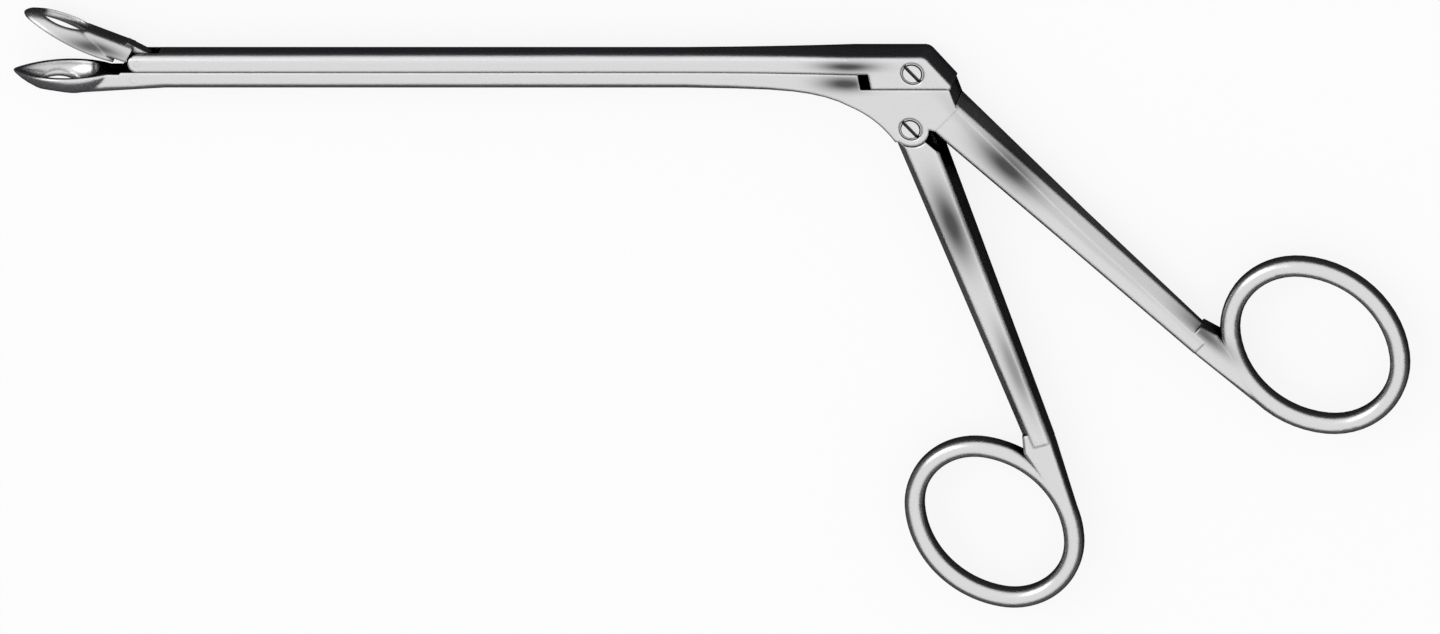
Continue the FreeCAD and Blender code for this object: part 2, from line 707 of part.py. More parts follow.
def make_slide_bar():
    """The sliding upper bar with its rear block and its forked front end."""
    body = new_body("slide_bar")

    # block over the body, with a rounded crown, a rear slope and a blunt tail
    step = f"({TRAVEL} + stop_gap - notch_reach)"
    run = "(block_tail - block_crown)"
    rise = f"({SLIDE_TOP} - {BLOCK_BOTTOM})"
    slope = f"(sqrt({run}^2 + {rise}^2))"
    crown_cut = f"(crown_radius * {rise} / ({slope} + {run}))"
    tail_x = f"(block_tail - tail_height * {run} / {rise})"
    sketch = new_sketch(body, "block_outline", "XY_Plane")
    draw_outline(sketch, [
        ("-belly_reach", SLIDE_BOTTOM),
        (step, SLIDE_BOTTOM),
        (f"{step} + notch_lean", BLOCK_BOTTOM),
        (f"{tail_x} - tail_undercut", BLOCK_BOTTOM),
        (tail_x, f"{BLOCK_BOTTOM} + tail_height"),
        (f"block_crown + {crown_cut} * {run} / {slope}",
         f"{SLIDE_TOP} - {crown_cut} * {rise} / {slope}"),
        (f"block_crown - {crown_cut}", SLIDE_TOP, "crown_radius", "left"),
        ("-belly_reach", SLIDE_TOP),
    ])
    block = pad(body, "block", sketch, f"2 * {BLOCK_HALF}")
    half = value_of(BLOCK_HALF)
    front = value_of("-belly_reach") + 0.01
    low = value_of(f"{BLOCK_BOTTOM} + tail_height") - 0.01
    high = value_of(SLIDE_BOTTOM) + 0.1

    def is_top_edge(edge):
        """Whether an edge belongs to the top or the rear slope of the block."""
        ends = ends_of(edge)
        outside = all(abs(abs(p.z) - half) < 0.01 and p.y > low for p in ends)
        return outside and max(p.y for p in ends) > high and max(p.x for p in ends) > front

    dress(body, "Fillet", "block_edge", block, is_top_edge, "Radius", "block_rounding")

    add_flare(body, BLOCK_HALF, SLIDE_BOTTOM, SLIDE_TOP, "0", "block_rounding")

    # bar to the front
    nose_radius = "(upper_bar_height / 2)"
    front = f"({JAW_DRIVE_X} - {nose_radius})"
    section = bar_section(body, "bar_section", f"({front} - flare_reach) / 2", BAR_HALF,
                          SLIDE_BOTTOM, SLIDE_TOP, "bar_rounding")
    pad(body, "upper_bar", section, f"-flare_reach - {front}")

    # round front end
    sketch = new_sketch(body, "nose_outline", "XY_Plane")
    draw_outline(sketch, [
        (JAW_DRIVE_X, SLIDE_BOTTOM),
        (front, JAW_DRIVE_Y, nose_radius, "right"),
        (JAW_DRIVE_X, SLIDE_TOP, nose_radius, "right"),
        (JAW_DRIVE_X, f"{SLIDE_TOP} + 1"),
        (f"{front} - 1", f"{SLIDE_TOP} + 1"),
        (f"{front} - 1", f"{SLIDE_BOTTOM} - 1"),
        (JAW_DRIVE_X, f"{SLIDE_BOTTOM} - 1"),
    ])
    pocket(body, "nose", sketch, THROUGH)

    # fork for the jaw's tang, with the drive pin's hole
    sketch = new_sketch(body, "fork_outline", "XY_Plane")
    draw_outline(sketch, [
        (f"{front} - 1", f"{SLIDE_BOTTOM} - 1"),
        ("-fork_slot_end", f"{SLIDE_BOTTOM} - 1"),
        ("-fork_slot_end", f"{SLIDE_TOP} + 1"),
        (f"{front} - 1", f"{SLIDE_TOP} + 1"),
    ])
    pocket(body, "fork", sketch, TANG_SLOT)
    drill(body, "drive_pin_hole", JAW_DRIVE_X, JAW_DRIVE_Y, "drive_pin + pin_seat_gap", "0",
          THROUGH)

    # guide slot for the rail, and the wider pocket ahead of it that lets the rail in
    slot_front = "(-rail_reach - rail_gap)"
    entry_front = f"({slot_front} - rail_length - rail_gap)"
    slot_back = f"(rail_length - rail_reach + {TRAVEL} + stop_gap + rail_gap)"
    stem_top = "(seam_height + rail_stem_height - rail_gap)"
    head_top = "(seam_height + rail_stem_height + rail_head_height + rail_gap)"
    under = f"{SLIDE_BOTTOM} - 1"
    for name, back, front_x, low, high, width in (
        ("guide_stem", slot_back, entry_front, under, stem_top, "rail_stem + 2 * rail_gap"),
        ("guide_head", slot_back, entry_front, stem_top, head_top, "rail_head + 2 * rail_gap"),
        ("guide_entry", slot_front, entry_front, under, head_top, "rail_head + 2 * rail_gap"),
    ):
        sketch = new_sketch(body, name + "_outline", "XY_Plane")
        draw_outline(sketch, [(front_x, low), (back, low), (back, high), (front_x, high)])
        pocket(body, name, sketch, width)

    # slot for the handle's tongue, and the drive screw's stepped hole
    room = "(tongue_end + tongue_room / 2)"
    sketch = new_sketch(body, "tongue_slot_outline", "XY_Plane")
    draw_outline(sketch, [
        (f"{DRIVE_X} - {room} - tongue_room", f"{BLOCK_BOTTOM} - 1"),
        (f"{DRIVE_X} + {room} + tongue_room", f"{BLOCK_BOTTOM} - 1"),
        (f"{DRIVE_X} + {room}", DRIVE_Y),
        (DRIVE_X, f"{DRIVE_Y} + {room}", room, "left"),
        (f"{DRIVE_X} - {room}", DRIVE_Y, room, "left"),
    ])
    pocket(body, "tongue_slot", sketch, TONGUE_SLOT)
    screw_hole(body, "drive", DRIVE_X, DRIVE_Y, BLOCK_HALF)
    return body


def make_front_handle():
    """The moving handle: finger ring, shank, shoulder and the tongue that drives the slide."""
    body = new_body("front_handle")
    add_ring(body, "front", "finger", -1)
    add_shank(body, "front", "finger", -1)

    # shoulder that turns round the boss
    left = f"(-sqrt({SHOULDER}^2 - (heel_drop + shoulder_gap)^2))"
    drop = "(-heel_drop - shoulder_gap)"
    right_x = f"({SHOULDER} * cos(shoulder_angle * 1 deg))"
    right_y = f"(-{SHOULDER} * sin(shoulder_angle * 1 deg))"
    sketch = new_sketch(body, "shoulder_outline", "XY_Plane")
    draw_outline(sketch, [
        (f"-3 * {SHOULDER}", drop),
        (left, drop),
        (right_x, right_y, SHOULDER, "left"),
        (f"{right_x} + 3 * boss_radius", f"{right_y} - 3 * boss_radius"),
        (f"{right_x} + 3 * boss_radius", "3 * boss_radius"),
        (f"-3 * {SHOULDER}", "3 * boss_radius"),
    ])
    pocket(body, "shoulder", sketch, THROUGH)

    # tongue up to the drive screw
    waist = "(tongue_waist / 2)"
    lead = "(lever_lead * 1 deg)"
    left_x, left_y = on_handle("front", "2 * boss_radius", f"-{waist}")
    right_x, right_y = on_handle("front", "2 * boss_radius", waist)
    sketch = new_sketch(body, "tongue_outline", "XY_Plane")
    draw_outline(sketch, [
        (left_x, left_y),
        (right_x, right_y),
        (waist, "0"),
        (f"{DRIVE_X} + tongue_end * cos{lead}", f"{DRIVE_Y} - tongue_end * sin{lead}"),
        (f"{DRIVE_X} + tongue_end * sin{lead}", f"{DRIVE_Y} + tongue_end * cos{lead}",
         "tongue_end", "left"),
        (f"{DRIVE_X} - tongue_end * cos{lead}", f"{DRIVE_Y} + tongue_end * sin{lead}",
         "tongue_end", "left"),
        (f"-{waist}", "0"),
    ])
    pad(body, "tongue", sketch, "tongue_thickness")
    drill(body, "pivot_bore", "0", "0", "pivot_shank + bearing_gap", "0", THROUGH)
    slotted_hole(body, "drive_slot", DRIVE_X, DRIVE_Y, "lever_lead", "drive_shank + bearing_gap",
                 STROKE_RISE)
    return body


def slotted_hole(body, name, x, y, lean, radius, play):
    """A hole lengthened by the play to both sides, along a line that leans from upright."""
    sketch = new_sketch(body, name + "_outline", "XY_Plane", {"x": x, "y": y},
                        ((0, 0, 1), f"-({lean})"))
    draw_outline(sketch, [
        (f"-({radius})", f"-{play}"),
        ("0", f"-{play} - ({radius})", radius, "left"),
        (radius, f"-{play}", radius, "left"),
        (radius, play),
        ("0", f"{play} + {radius}", radius, "left"),
        (f"-({radius})", play, radius, "left"),
    ])
    pocket(body, name, sketch, THROUGH)


def make_upper_jaw():
    """The moving cup with its shank and tang, drawn shut and turned open about its pin."""
    body = new_body("upper_jaw")
    body.Placement = FreeCAD.Placement(
        FreeCAD.Vector(), FreeCAD.Rotation(FreeCAD.Vector(0, 0, 1), -value_of(OPENING))
    )
    body.setExpression("Placement.Rotation.Angle", bound(f"-{OPENING}"))
    body.setExpression("Placement.Base.x", bound(JAW_PIVOT_X))
    body.setExpression("Placement.Base.y", bound(JAW_PIVOT_Y))

    nose_x = f"(-tip_reach - upper_cup_lead - {JAW_PIVOT_X})"
    bite_y = f"(parting_height + bite_gap - {JAW_PIVOT_Y})"
    add_cup(body, "upper", 1, nose_x, bite_y)

    # round shank behind the cup
    crown = f"({bite_y} + upper_cup_radius - upper_cup_lift - 0.1)"
    sections = [
        bar_section(body, "shank_front", f"({nose_x} + shank_start)", BAR_HALF, bite_y, crown,
                    "bar_rounding"),
        bar_section(body, "shank_rear", "(-tang_front_reach)", BAR_HALF,
                    f"({bite_y} + shank_lift)", "tang_top_height", "bar_rounding"),
    ]
    loft(body, "jaw_shank", sections, True)
    open_cup(body, "upper", 1, nose_x, bite_y, "0")

    # flat tang down to the pivot
    sketch = new_sketch(body, "tang_outline", "XY_Plane")
    draw_outline(sketch, [
        ("-tang_boss", "0"),
        ("0", "-tang_boss", "tang_boss", "left"),
        ("tang_boss", "0", "tang_boss", "left"),
        ("tang_back", "tang_top_height"),
        ("-tang_front_reach - tang_boss", "tang_top_height"),
        ("-tang_front_reach - tang_boss", f"{bite_y} + shank_lift"),
        ("-tang_front_reach", f"{bite_y} + shank_lift"),
    ])
    pad(body, "tang", sketch, "tang_thickness")
    drill(body, "pivot_bore", "0", "0", "jaw_pin + pin_gap", "0", THROUGH)
    middle = f"(jaw_arm - {JAW_DIP} / 2)"
    slotted_hole(
        body, "drive_slot", f"-{middle} * sin({OPENING} / 2)", f"{middle} * cos({OPENING} / 2)",
        f"-{OPENING} / 2 / 1 deg", "drive_pin + pin_gap", f"({JAW_DIP} / 2 + pin_gap)",
    )
    return body


def make_screw(label, x, y, shank, face, end):
    """A slotted screw whose head lies flush in the upper face."""
    body = new_body(label)
    body.setExpression("Placement.Base.x", bound(x))
    body.setExpression("Placement.Base.y", bound(y))
    thread_top = "-(tongue_thickness / 2 + tongue_gap)"
    sketch = new_sketch(body, "profile", "XZ_Plane")
    draw_outline(sketch, [
        ("0", end),
        ("thread_radius", end),
        ("thread_radius", thread_top),
        (shank, thread_top),
        (shank, f"{face} - head_height"),
        ("head_radius", f"{face} - head_height"),
        ("head_radius", face),
        ("0", face),
    ])
    turned(body, "Revolution", "turned_form", sketch, "V_Axis", 360)
    slot = new_sketch(body, "slot_outline", "XY_Plane", {"z": face},
                      ((0, 0, 1), "screw_slot_turn"))
    draw_outline(slot, [
        ("-2 * head_radius", "-screw_slot / 2"),
        ("2 * head_radius", "-screw_slot / 2"),
        ("2 * head_radius", "screw_slot / 2"),
        ("-2 * head_radius", "screw_slot / 2"),
    ])
    pocket(body, "driver_slot", slot, "2 * screw_slot_depth")
    return body


def make_pin(label, x, y, radius):
    """A plain pin across the shaft, ground almost flush with both cheeks."""
    pin = doc.addObject("Part::Cylinder", label)
    pin.Label = label
    pin.setExpression("Radius", bound(radius))
    pin.setExpression("Height", bound("shaft_width - 2 * pin_inset"))
    pin.setExpression("Placement.Base.x", bound(x))
    pin.setExpression("Placement.Base.y", bound(y))
    pin.setExpression("Placement.Base.z", bound(f"{HALF} - {BAR_HALF} + pin_inset"))
    return pin


nodes = [
    make_fixed_shaft(),
    make_slide_bar(),
    make_front_handle(),
    make_upper_jaw(),
    make_screw("pivot_screw", "0", "0", "pivot_shank", HALF, f"-{HALF}"),
    make_screw("drive_screw", DRIVE_X, DRIVE_Y, "drive_shank", BLOCK_HALF,
               f"screw_recess - {BLOCK_HALF}"),
    make_pin("jaw_pivot_pin", JAW_PIVOT_X, JAW_PIVOT_Y, "jaw_pin"),
    make_pin("jaw_drive_pin", JAW_DRIVE_X, JAW_DRIVE_Y, "drive_pin"),
]
doc.recompute()

for item in doc.Objects:
    if "Invalid" in item.State or "Error" in item.State:
        raise RuntimeError(f"{item.Name} failed: {item.State}")
for node in nodes:
    if node.Shape.isNull() or not node.Shape.isValid():
        raise RuntimeError(f"{node.Label} has no valid shape")

os.makedirs("parts", exist_ok=True)
for node in nodes:
    node.Shape.exportStep(os.path.join("parts", node.Label + ".step"))
    box = node.Shape.BoundBox
    count = len(node.Shape.Solids)
    print(f"{node.Label}: {count} solid, {node.Shape.Volume:.1f} mm3, X {box.XMin:.2f} to "
          f"{box.XMax:.2f}, Y {box.YMin:.2f} to {box.YMax:.2f}, Z {box.ZMin:.2f} to {box.ZMax:.2f}")
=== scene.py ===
"""The looks of a pair of nasal forceps that lies on one side on a pale table."""

import logging
import math
from dataclasses import dataclass, field
from enum import Enum

import bpy
from mathutils import Matrix, Vector


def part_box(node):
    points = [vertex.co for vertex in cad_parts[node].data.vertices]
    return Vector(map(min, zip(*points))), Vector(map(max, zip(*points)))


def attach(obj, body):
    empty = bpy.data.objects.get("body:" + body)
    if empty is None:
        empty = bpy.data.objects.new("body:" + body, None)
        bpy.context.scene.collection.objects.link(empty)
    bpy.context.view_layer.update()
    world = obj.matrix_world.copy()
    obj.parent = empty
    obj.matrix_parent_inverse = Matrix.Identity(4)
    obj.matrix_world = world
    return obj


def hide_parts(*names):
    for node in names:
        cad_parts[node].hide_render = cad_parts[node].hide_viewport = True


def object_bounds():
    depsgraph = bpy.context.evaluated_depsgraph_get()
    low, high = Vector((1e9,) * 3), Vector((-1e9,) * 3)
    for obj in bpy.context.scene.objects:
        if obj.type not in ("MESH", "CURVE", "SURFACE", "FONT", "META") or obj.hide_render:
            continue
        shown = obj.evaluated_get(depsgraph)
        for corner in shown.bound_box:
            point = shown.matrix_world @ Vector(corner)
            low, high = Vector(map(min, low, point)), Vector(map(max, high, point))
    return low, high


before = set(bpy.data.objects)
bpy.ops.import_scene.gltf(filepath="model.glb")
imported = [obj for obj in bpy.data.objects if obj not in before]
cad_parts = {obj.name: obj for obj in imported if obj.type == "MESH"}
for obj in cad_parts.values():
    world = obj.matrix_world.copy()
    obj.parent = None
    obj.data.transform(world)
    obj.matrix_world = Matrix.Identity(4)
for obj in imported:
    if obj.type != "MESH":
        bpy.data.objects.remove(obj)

CAD_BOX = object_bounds()

MM = 0.001
LOG = logging.getLogger("nasal_forceps")


class Body(Enum):
    """The moving bodies of the forceps."""

    FRAME = "frame"
    SLIDE = "slide"
    HANDLE = "handle"
    JAW = "jaw"


class Slot(Enum):
    """The record's material slots."""

    SATIN = "satin_steel"
    TURNED = "turned_steel"


class Across(Enum):
    """How the grinding marks of a zone run."""

    STRAIGHT = "straight"
    ROUND = "round"


def linear(hex_colour: str) -> tuple[float, float, float, float]:
    """The linear colour of an sRGB hex value.

    Args:
        hex_colour: Six hex digits after a hash sign.

    Returns:
        Red, green and blue in linear light, and an alpha of 1.
    """
    def decode(byte: int) -> float:
        share = byte / 255
        return share / 12.92 if share <= 0.04045 else ((share + 0.055) / 1.055) ** 2.4

    red, green, blue = (int(hex_colour[i:i + 2], 16) for i in (1, 3, 5))
    return decode(red), decode(green), decode(blue), 1.0


def add_node(tree: bpy.types.NodeTree, kind: str, inputs: dict | None = None,
             **settings) -> bpy.types.Node:
    """Adds a node to a tree, with its settings, its numbers and its links.

    Args:
        tree: The node tree that gets the node.
        kind: The node's type name.
        inputs: A number or an output socket for each input, by name or place.
        settings: The node's own properties.

    Returns:
        The new node.
    """
    node = tree.nodes.new(kind)
    for name, value in settings.items():
        setattr(node, name, value)
    for key, value in (inputs or {}).items():
        if isinstance(value, bpy.types.NodeSocket):
            tree.links.new(value, node.inputs[key])
        else:
            node.inputs[key].default_value = value
    return node


@dataclass(frozen=True)
class GrindZone:
    """A part of a forging whose grinding marks run one way.

    Straight zones start at a reach from their centre along their direction. Round zones
    fill a circle around their centre.
    """

    across: Across
    centre_mm: tuple[float, float]
    turn_deg: float = 0.0
    reach_mm: float = 0.0


@dataclass(frozen=True)
class PaintedReflectionPatch:
    """A long spot painted darker or paler than what is around it, as a painted reflection of dark
    or bright surroundings.
    """

    centre_mm: tuple[float, float]
    half_length_mm: float
    half_width_mm: float
    turn_deg: float = 0.0
    strength: float = 0.8
    hex_colour: str = "#242527"
    fade: float = 0.85


@dataclass(frozen=True)
class ForgedSteel:
    """Satin-ground martensitic stainless steel, forged, ground along its length and tumbled.

    It gives the eye pale, slightly streaked faces, flanks darkened by painted shade,
    recesses painted black as shade and thin painted highlights on the rounded edges.
    """

    name: str
    zones: tuple[GrindZone, ...]
    painted_reflection_patches: tuple[PaintedReflectionPatch, ...] = ()
    # where a riveted pin is ground flush, so that no corner shows
    flush_pins_mm: tuple[tuple[float, float], ...] = ()
    face_hex: str = "#DADADB"
    painted_flank_shade_hex: str = "#8A8B8D"
    painted_recess_shade_hex: str = "#050505"
    painted_edge_highlight_hex: str = "#F4F4F5"
    roughness: float = 0.24
    # grinding marks of a 240 grit belt are 0.05 mm wide, drawn at 0.16 mm to show
    mark_width_mm: float = 0.16
    mark_length_mm: float = 9.0
    mark_depth_mm: float = 0.004
    ripple_length_mm: float = 14.0
    ripple_depth_mm: float = 0.22
    edge_radius_mm: float = 0.6
    recess_reach_mm: float = 4.5
    grazing_tint: float = 0.35
    face_height_mm: float = 5.6
    flush_radius_mm: float = 1.2
    # the upright share of the direction at which the painted flank shade ends and the face's own
    # colour begins
    flank_end: float = 0.30
    face_start: float = 0.62
    # the turn of the rounding, as a cosine, from no painted edge highlight to a full one
    highlight_start: float = 0.995
    highlight_full: float = 0.90
    # the open share of the surroundings in a recess, where the painted shade is full, and on a free
    # face, where it ends
    recess_open: float = 0.50
    free_open: float = 0.86

    def marks(self, tree: bpy.types.NodeTree, place: bpy.types.NodeSocket) -> bpy.types.NodeSocket:
        """The height of the grinding marks, zone over zone.

        Args:
            tree: The material's node tree.
            place: Object coordinates.

        Returns:
            An output with the height, from 0 to 1.
        """
        height = None
        for zone in self.zones:
            centre = (*(c * MM for c in zone.centre_mm), 0.0)
            if zone.across is Across.STRAIGHT:
                size = (self.mark_length_mm * MM, self.mark_width_mm * MM, self.mark_width_mm * MM)
                turn = (0.0, 0.0, math.radians(zone.turn_deg))
                local = add_node(tree, "ShaderNodeMapping", {
                    "Vector": place, "Location": centre, "Rotation": turn, "Scale": size,
                }, vector_type="TEXTURE")
                along = add_node(tree, "ShaderNodeSeparateXYZ", {0: local.outputs[0]})
                reach = zone.reach_mm / self.mark_length_mm
                share = add_node(tree, "ShaderNodeMapRange", {
                    "Value": along.outputs[0], "From Min": reach - 0.1, "From Max": reach + 0.1,
                })
                pattern = local.outputs[0]
            else:
                away = add_node(tree, "ShaderNodeVectorMath", {0: place, 1: centre},
                                operation="SUBTRACT")
                flat = add_node(tree, "ShaderNodeVectorMath",
                                {0: away.outputs[0], 1: (1.0, 1.0, 0.0)}, operation="MULTIPLY")
                radius = add_node(tree, "ShaderNodeVectorMath", {0: flat.outputs[0]},
                                  operation="LENGTH")
                level = add_node(tree, "ShaderNodeSeparateXYZ", {0: place})
                rings = add_node(tree, "ShaderNodeCombineXYZ",
                                 {0: radius.outputs["Value"], 1: level.outputs[2]})
                scaled = add_node(tree, "ShaderNodeVectorMath", {
                    0: rings.outputs[0], "Scale": 1 / (self.mark_width_mm * MM),
                }, operation="SCALE")
                edge = zone.reach_mm * MM
                share = add_node(tree, "ShaderNodeMapRange", {
                    "Value": radius.outputs["Value"], "From Min": edge, "From Max": edge - MM,
                })
                pattern = scaled.outputs[0]
            streaks = add_node(tree, "ShaderNodeTexNoise",
                               {"Vector": pattern, "Scale": 1.0, "Detail": 2.0})
            if height is None:
                height = streaks.outputs[0]
            else:
                mixed = add_node(tree, "ShaderNodeMix", {
                    0: share.outputs[0], 2: height, 3: streaks.outputs[0],
                })
                height = mixed.outputs[0]
        return height

    def rounded(self, tree: bpy.types.NodeTree, place: bpy.types.NodeSocket,
                plain: bpy.types.NodeSocket) -> bpy.types.NodeSocket:
        """The direction of the skin with rounded corners, except at flush pins.

        Args:
            tree: The material's node tree.
            place: Object coordinates.
            plain: The direction without roundings.

        Returns:
            An output with the direction.
        """
        bevel = add_node(tree, "ShaderNodeBevel", {"Radius": self.edge_radius_mm * MM}, samples=6)
        direction = bevel.outputs[0]
        for pin in self.flush_pins_mm:
            flat = add_node(tree, "ShaderNodeVectorMath", {0: place, 1: (1.0, 1.0, 0.0)},
                            operation="MULTIPLY")
            away = add_node(tree, "ShaderNodeVectorMath",
                            {0: flat.outputs[0], 1: (*(c * MM for c in pin), 0.0)},
                            operation="DISTANCE")
            share = add_node(tree, "ShaderNodeMapRange", {
                "Value": away.outputs["Value"], "From Min": self.flush_radius_mm * MM,
                "From Max": 0.75 * self.flush_radius_mm * MM,
            })
            mixed = add_node(tree, "ShaderNodeMix",
                             {0: share.outputs[0], 4: direction, 5: plain}, data_type="VECTOR")
            direction = mixed.outputs[1]
        return direction

    def with_painted_reflections(self, tree: bpy.types.NodeTree, place: bpy.types.NodeSocket,
                colour: bpy.types.NodeSocket) -> bpy.types.NodeSocket:
        """The colour with the painted reflection patches in it.

        Args:
            tree: The material's node tree.
            place: Object coordinates.
            colour: The colour without them.

        Returns:
            An output with the colour.
        """
        for patch in self.painted_reflection_patches:
            height = self.face_height_mm * MM
            local = add_node(tree, "ShaderNodeMapping", {
                "Vector": place,
                "Location": (*(c * MM for c in patch.centre_mm), height),
                "Rotation": (0.0, 0.0, math.radians(patch.turn_deg)),
                "Scale": (patch.half_length_mm * MM, patch.half_width_mm * MM, 2 * height),
            }, vector_type="TEXTURE")
            spot = add_node(tree, "ShaderNodeTexGradient", {0: local.outputs[0]},
                            gradient_type="QUADRATIC_SPHERE")
            share = add_node(tree, "ShaderNodeMapRange", {
                "Value": spot.outputs[1], "From Max": patch.fade, "To Max": patch.strength,
            }, interpolation_type="SMOOTHSTEP")
            mixed = add_node(tree, "ShaderNodeMix", {
                0: share.outputs[0], 6: colour, 7: linear(patch.hex_colour),
            }, data_type="RGBA")
            colour = mixed.outputs[2]
        return colour

    def material(self) -> bpy.types.Material:
        """Builds the material."""
        material = bpy.data.materials.new(self.name)
        material.use_nodes = True
        tree = material.node_tree
        tree.nodes.clear()
        place = add_node(tree, "ShaderNodeTexCoord").outputs["Object"]
        marks = self.marks(tree, place)

        ripple = add_node(tree, "ShaderNodeTexNoise", {
            "Vector": place, "Scale": 1 / (self.ripple_length_mm * MM), "Detail": 1.0,
        })
        geometry = add_node(tree, "ShaderNodeNewGeometry")
        rounded = self.rounded(tree, place, geometry.outputs["Normal"])
        waved = add_node(tree, "ShaderNodeBump", {
            "Strength": 1.0, "Distance": self.ripple_depth_mm * MM,
            "Height": ripple.outputs[0], "Normal": rounded,
        })
        ground = add_node(tree, "ShaderNodeBump", {
            "Strength": 1.0, "Distance": self.mark_depth_mm * MM,
            "Height": marks, "Normal": waved.outputs[0],
        })

        # painted shade: upright flanks get a darker colour than the faces, by the direction of the
        # rounded skin
        tilt = add_node(tree, "ShaderNodeSeparateXYZ", {0: rounded})
        upright = add_node(tree, "ShaderNodeMath", {0: tilt.outputs[2]}, operation="ABSOLUTE")
        facing = add_node(tree, "ShaderNodeMapRange", {
            "Value": upright.outputs[0], "From Min": self.flank_end,
            "From Max": self.face_start,
        }, interpolation_type="SMOOTHSTEP")
        colour = add_node(tree, "ShaderNodeMix", {
            0: facing.outputs[0], 6: linear(self.painted_flank_shade_hex), 7: linear(self.face_hex),
        }, data_type="RGBA")

        # painted reflections: dark and pale patches laid into the colour at given places
        pale = self.with_painted_reflections(tree, place, colour.outputs[2])

        # painted highlight: the rounded edges get a pale colour, broken up by noise
        turned_away = add_node(tree, "ShaderNodeVectorMath",
                               {0: rounded, 1: geometry.outputs["Normal"]},
                               operation="DOT_PRODUCT")
        edge = add_node(tree, "ShaderNodeMapRange", {
            "Value": turned_away.outputs["Value"],
            "From Min": self.highlight_start, "From Max": self.highlight_full,
        })
        highlight_breakup = add_node(tree, "ShaderNodeTexNoise",
                        {"Vector": place, "Scale": 1 / (3.0 * MM), "Detail": 3.0})
        painted_edge_highlight_share = add_node(tree, "ShaderNodeMath", {0: edge.outputs[0], 1: highlight_breakup.outputs[0]},
                        operation="MULTIPLY")
        bright = add_node(tree, "ShaderNodeMix", {
            0: painted_edge_highlight_share.outputs[0], 6: pale, 7: linear(self.painted_edge_highlight_hex),
        }, data_type="RGBA")

        # painted shade: recesses, cup hollows and seams turn black where ambient occlusion is high
        hollow = add_node(tree, "ShaderNodeAmbientOcclusion",
                          {"Distance": self.recess_reach_mm * MM}, samples=12)
        open_share = add_node(tree, "ShaderNodeMapRange", {
            "Value": hollow.outputs["AO"],
            "From Min": self.recess_open, "From Max": self.free_open,
        })
        with_painted_recess_shade = add_node(tree, "ShaderNodeMix", {
            0: open_share.outputs[0], 6: linear(self.painted_recess_shade_hex), 7: bright.outputs[2],
        }, data_type="RGBA")

        rough = add_node(tree, "ShaderNodeMapRange", {
            "Value": marks, "From Min": 0.2, "From Max": 0.8,
            "To Min": self.roughness - 0.05, "To Max": self.roughness + 0.07,
        })
        shader = add_node(tree, "ShaderNodeBsdfPrincipled", {
            "Base Color": with_painted_recess_shade.outputs[2], "Metallic": 1.0,
            "Specular Tint": (self.grazing_tint,) * 3 + (1.0,),
            "Roughness": rough.outputs[0], "Normal": ground.outputs[0],
        })
        add_node(tree, "ShaderNodeOutputMaterial", {"Surface": shader.outputs[0]})
        return material


@dataclass(frozen=True)
class TurnedSteel:
    """Turned stainless steel, faced on a lathe.

    It gives the eye a pale face with fine rings around its axis, and painted shade that darkens its
    rim and its slot.
    """

    name: str
    centre_mm: tuple[float, float]
    face_hex: str = "#E2E2E3"
    painted_flank_shade_hex: str = "#1C1C1D"
    roughness: float = 0.26
    # the feed of a facing cut is 0.05 mm a turn, drawn at 0.14 mm to show
    ring_pitch_mm: float = 0.14
    ring_depth_mm: float = 0.004
    edge_radius_mm: float = 0.06
    recess_reach_mm: float = 0.5

    def material(self) -> bpy.types.Material:
        """Builds the material."""
        material = bpy.data.materials.new(self.name)
        material.use_nodes = True
        tree = material.node_tree
        tree.nodes.clear()
        place = add_node(tree, "ShaderNodeTexCoord").outputs["Object"]
        centre = (*(c * MM for c in self.centre_mm), 0.0)
        local = add_node(tree, "ShaderNodeMapping", {"Vector": place, "Location": centre},
                         vector_type="TEXTURE")
        # the wave has a crest every 2 pi / (20 scale) metres of radius
        rings = add_node(tree, "ShaderNodeTexWave", {
            "Vector": local.outputs[0], "Scale": 2 * math.pi / (20 * self.ring_pitch_mm * MM),
            "Distortion": 0.4,
        }, wave_type="RINGS", rings_direction="Z")
        rounded = add_node(tree, "ShaderNodeBevel", {"Radius": self.edge_radius_mm * MM}, samples=6)
        ground = add_node(tree, "ShaderNodeBump", {
            "Strength": 0.5, "Distance": self.ring_depth_mm * MM,
            "Height": rings.outputs[1], "Normal": rounded.outputs[0],
        })
        # painted shade: the bevelled rim gets a dark colour
        tilt = add_node(tree, "ShaderNodeSeparateXYZ", {0: rounded.outputs[0]})
        facing = add_node(tree, "ShaderNodeMapRange", {
            "Value": tilt.outputs[2], "From Min": 0.75, "From Max": 0.97,
        }, interpolation_type="SMOOTHSTEP")
        # painted shade: the slot and recesses darken by ambient occlusion
        hollow = add_node(tree, "ShaderNodeAmbientOcclusion",
                          {"Distance": self.recess_reach_mm * MM}, samples=12)
        open_share = add_node(tree, "ShaderNodeMapRange", {
            "Value": hollow.outputs["AO"], "From Min": 0.45, "From Max": 0.8,
        })
        lit = add_node(tree, "ShaderNodeMath", {0: facing.outputs[0], 1: open_share.outputs[0]},
                       operation="MULTIPLY")
        colour = add_node(tree, "ShaderNodeMix", {
            0: lit.outputs[0], 6: linear(self.painted_flank_shade_hex), 7: linear(self.face_hex),
        }, data_type="RGBA")
        shader = add_node(tree, "ShaderNodeBsdfPrincipled", {
            "Base Color": colour.outputs[2], "Metallic": 1.0,
            "Roughness": self.roughness, "Normal": ground.outputs[0],
        })
        add_node(tree, "ShaderNodeOutputMaterial", {"Surface": shader.outputs[0]})
        return material


@dataclass
class Forging:
    """One forged piece, shown as its CAD node in its own finish."""

    node: str
    finish: ForgedSteel

    def dress(self) -> None:
        """Gives the node its finish."""
        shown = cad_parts[self.node]
        shown.data.materials.clear()
        shown.data.materials.append(self.finish.material())
        LOG.info("%s dressed in %s", self.node, self.finish.name)


